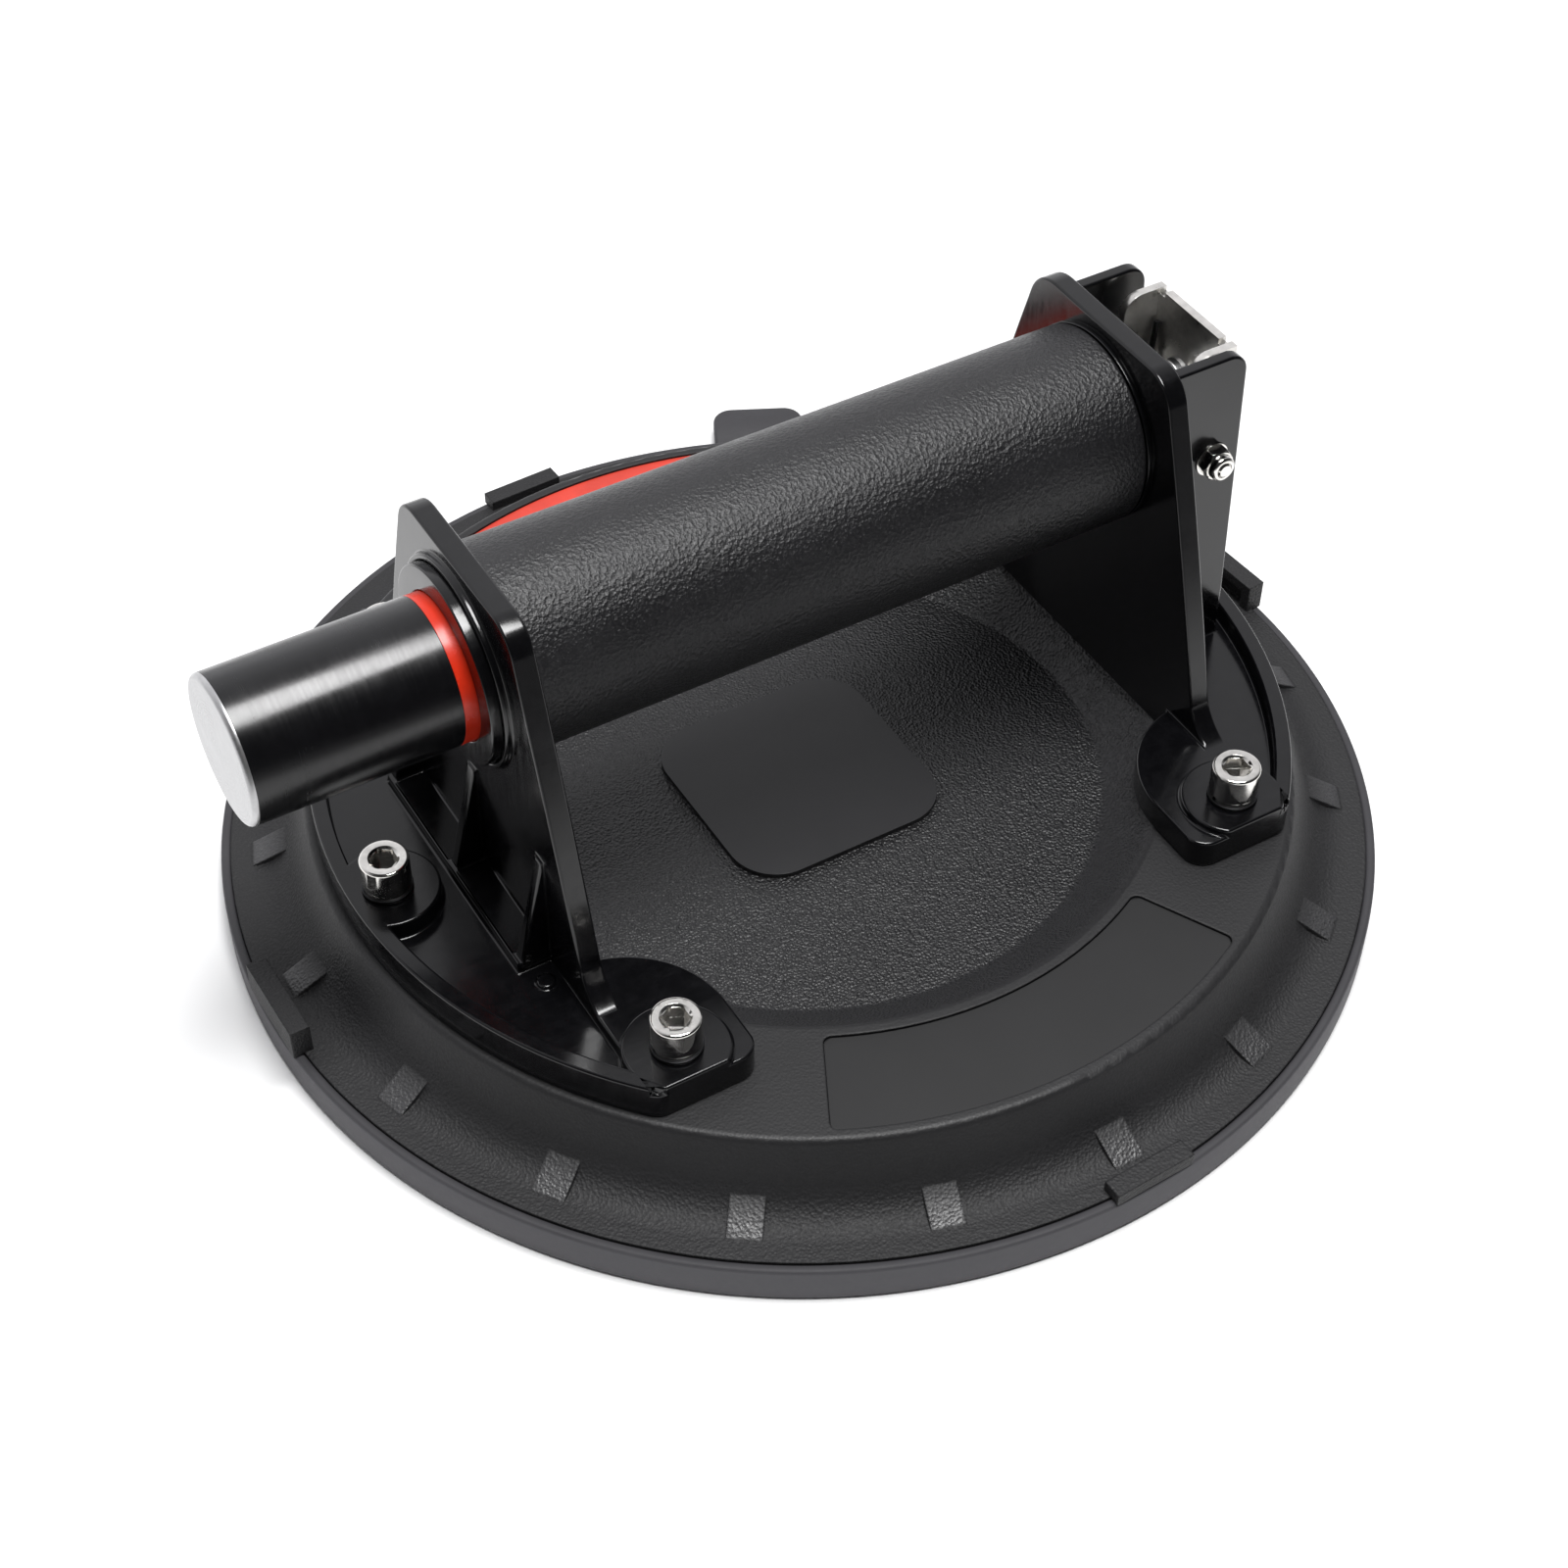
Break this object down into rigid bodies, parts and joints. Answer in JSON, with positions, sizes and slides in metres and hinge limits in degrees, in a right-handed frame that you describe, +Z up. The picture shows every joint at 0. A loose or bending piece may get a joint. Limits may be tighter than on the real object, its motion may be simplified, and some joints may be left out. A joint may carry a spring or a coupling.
{
  "type": "vacuum suction cup",
  "caption": "Round vacuum suction cup with a rubber pad, ribbed base plate, bridge handle with built-in hand pump, red vacuum indicator band and release lever.",
  "frame": {"origin": "centre of the plane on which the rubber pad stands", "axes": "+X along the handle from the pump plunger to the release lever, +Y across the handle to the side with the pull tab, +Z up from the pad"},
  "size_m": [0.2102, 0.2144, 0.091],
  "materials": {
    "pad_rubber": "matte",
    "base_plastic": "fine moulded grain",
    "badge_plastic": "smooth satin",
    "red_plastic": "smooth",
    "steel": "plain",
    "filter_foam": "fine mesh",
    "seal_rubber": "smooth",
    "bracket_plastic": "polished",
    "chrome": "bright plated",
    "dark_steel": "blackened",
    "brass": "turned",
    "grip_leather": "leather grain",
    "inner_plastic": "smooth",
    "black_metal": "gloss anodised",
    "cap_metal": "polished end face"
  },
  "bodies": {
    "base": {"suction_pad": "pad_rubber", "base_plate": "base_plastic", "centre_badge": "badge_plastic", "front_label": "badge_plastic", "rear_label": "red_plastic", "pad_clamp_disc": "steel", "pad_clamp_screws": "steel", "port_filter": "filter_foam", "port_seal": "seal_rubber", "pump_bracket": "bracket_plastic", "lever_bracket": "bracket_plastic", "bracket_screws": "chrome", "bracket_plain_washers": "steel", "bracket_lock_washers": "dark_steel", "bracket_inserts": "brass", "grip_sleeve": "grip_leather", "grip_end_ring": "bracket_plastic", "barrel": "inner_plastic", "guide_bush": "bracket_plastic", "return_spring": "steel", "valve_block": "inner_plastic", "valve_block_seal": "seal_rubber", "intake_spring": "steel", "exhaust_spring": "steel", "exhaust_plug": "inner_plastic", "release_body": "inner_plastic", "release_spring": "steel", "lever_spacers": "inner_plastic", "pivot_bolt": "chrome", "pivot_nut": "chrome"},
    "plunger": {"plunger_sleeve": "black_metal", "plunger_cap": "cap_metal", "indicator_band": "red_plastic", "piston_ring": "inner_plastic", "piston_seal": "seal_rubber"},
    "lever": {"release_lever": "chrome", "pivot_bush": "steel", "lever_spring": "dark_steel"},
    "stem": {"release_stem": "steel", "release_seal": "seal_rubber"},
    "intake": {"intake_valve": "steel"},
    "exhaust": {"exhaust_valve": "steel"}
  },
  "joints": [
    {"name": "plunger_slide", "type": "slide", "parent": "base", "child": "plunger", "axis": [1, 0, 0], "range_m": [0, 0.036], "stiffness_N_per_m": 200, "springref_m": -0.02, "deforming": ["return_spring"]},
    {"name": "lever_pivot", "type": "hinge", "parent": "base", "child": "lever", "pos_m": [0.0738, 0, 0.0672], "axis": [0, -1, 0], "range_deg": [0, 13]},
    {"name": "stem_slide", "type": "slide", "parent": "base", "child": "stem", "axis": [-1, 0, 0], "range_m": [0, 0.0019], "deforming": ["release_spring"]},
    {"name": "intake_slide", "type": "slide", "parent": "base", "child": "intake", "axis": [-1, 0, 0], "range_m": [0, 0.001], "deforming": ["intake_spring"]},
    {"name": "exhaust_slide", "type": "slide", "parent": "base", "child": "exhaust", "axis": [1, 0, 0], "range_m": [0, 0.001], "deforming": ["exhaust_spring"]}
  ],
  "couplings": [
    {"joint": "stem_slide", "follows": "lever_pivot", "m_per_rad": 0.00793}
  ]
}
